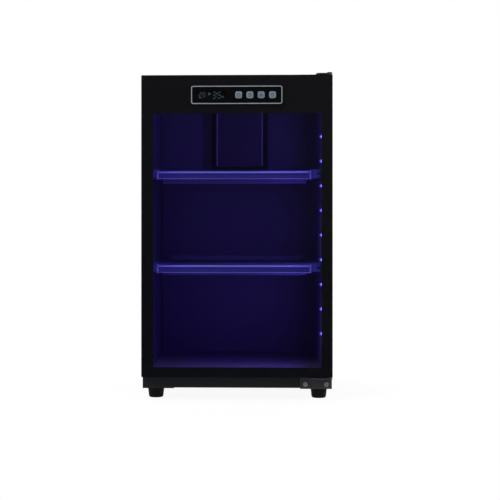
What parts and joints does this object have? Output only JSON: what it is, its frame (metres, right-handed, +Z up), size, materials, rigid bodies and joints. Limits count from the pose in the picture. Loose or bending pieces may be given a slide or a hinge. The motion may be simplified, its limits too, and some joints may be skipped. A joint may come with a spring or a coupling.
{
  "type": "camera dry cabinet",
  "caption": "Upright electronic dry cabinet with a full-width glass door on pin hinges, a control strip in its header, pull-out shelves, a lamp strip and a drying unit.",
  "frame": {"origin": "middle of the cabinet's outline on the floor plane, at the underside of the feet", "axes": "+X to the cabinet's right as seen from its front, +Y to the rear, +Z up; the door's front faces -Y"},
  "size_m": [0.39, 0.4, 0.6701],
  "materials": {
    "case_paint": "black powder coat, fine orange peel",
    "lining_paint": "matt dark violet-grey coat",
    "mat_rubber": "soft ribbed mat",
    "foot_rubber": "matt black rubber",
    "seal_rubber": "soft magnetic seal",
    "screw_steel": "zinc plated",
    "sink_aluminium": "extruded, clear anodised",
    "tape_white": "white flexible circuit",
    "lamp_lens": "clear lens over a violet-white lamp",
    "ceramic_white": "white ceramic faces",
    "foam_black": "closed-cell foam",
    "wick_felt": "felt",
    "black_plastic": "fine grained black plastic",
    "circuit_green": "solder mask",
    "clear_glass": "clear toughened glass",
    "black_print": "black ceramic print",
    "bush_nylon": "natural nylon",
    "bezel_metal": "satin, pale blue-grey",
    "smoked_lens": "smoked lens",
    "display_grey": "dark display face",
    "key_plastic": "satin pale blue-grey",
    "tray_paint": "satin coat",
    "trim_aluminium": "satin anodised"
  },
  "bodies": {
    "cabinet": {"outer_case": "case_paint", "back_panel": "case_paint", "base_pan": "case_paint", "left_lining": "lining_paint", "right_lining": "lining_paint", "cable_duct": "lining_paint", "floor_mat": "mat_rubber", "corner_plates": "case_paint", "feet": "foot_rubber", "foot_screws": "screw_steel", "panel_screws": "screw_steel", "lower_hinge_plate": "case_paint", "upper_hinge_plate": "case_paint", "hinge_pins": "screw_steel", "hinge_screws": "screw_steel", "led_bar": "sink_aluminium", "led_tape": "tape_white", "led_chips": "lamp_lens", "upper_shelf_rails": "lining_paint", "lower_shelf_rails": "lining_paint", "drying_unit_cover": "lining_paint", "cold_sink": "sink_aluminium", "thermoelectric_module": "ceramic_white", "insulation_frame": "foam_black", "hot_sink": "sink_aluminium", "condensate_wick": "wick_felt", "rear_vent_cover": "case_paint", "humidity_sensor": "black_plastic", "power_inlet": "black_plastic", "power_board": "circuit_green"},
    "door": {"door_glass": "clear_glass", "window_mask": "black_print", "glass_tape": "foam_black", "door_frame": "black_plastic", "header_cover": "black_plastic", "header_screws": "screw_steel", "door_seal": "seal_rubber", "hinge_bushes": "bush_nylon", "control_bezel": "bezel_metal", "control_fascia": "black_plastic", "display_window": "smoked_lens", "display_module": "display_grey", "control_board": "circuit_green", "key_switches": "screw_steel"},
    "power_key": {"power_key": "key_plastic"},
    "menu_key": {"menu_key": "key_plastic"},
    "up_key": {"up_key": "key_plastic"},
    "light_key": {"light_key": "key_plastic"},
    "upper_shelf_tray": {"upper_shelf": "tray_paint", "upper_shelf_trim": "trim_aluminium", "upper_shelf_glides": "bush_nylon"},
    "lower_shelf_tray": {"lower_shelf": "tray_paint", "lower_shelf_trim": "trim_aluminium", "lower_shelf_glides": "bush_nylon"}
  },
  "joints": [
    {"name": "door_hinge", "type": "hinge", "parent": "cabinet", "child": "door", "pos_m": [0.1894, -0.187, 0.3562], "axis": [0, 0, 1], "range_deg": [0, 120]},
    {"name": "power_key_press", "type": "slide", "parent": "door", "child": "power_key", "axis": [0, 1, 0], "range_m": [0, 0.0008], "stiffness_N_per_m": 1500},
    {"name": "menu_key_press", "type": "slide", "parent": "door", "child": "menu_key", "axis": [0, 1, 0], "range_m": [0, 0.0008], "stiffness_N_per_m": 1500},
    {"name": "up_key_press", "type": "slide", "parent": "door", "child": "up_key", "axis": [0, 1, 0], "range_m": [0, 0.0008], "stiffness_N_per_m": 1500},
    {"name": "light_key_press", "type": "slide", "parent": "door", "child": "light_key", "axis": [0, 1, 0], "range_m": [0, 0.0008], "stiffness_N_per_m": 1500},
    {"name": "upper_shelf_slide", "type": "slide", "parent": "cabinet", "child": "upper_shelf_tray", "axis": [0, -1, 0], "range_m": [0, 0.036]},
    {"name": "lower_shelf_slide", "type": "slide", "parent": "cabinet", "child": "lower_shelf_tray", "axis": [0, -1, 0], "range_m": [0, 0.036]}
  ]
}
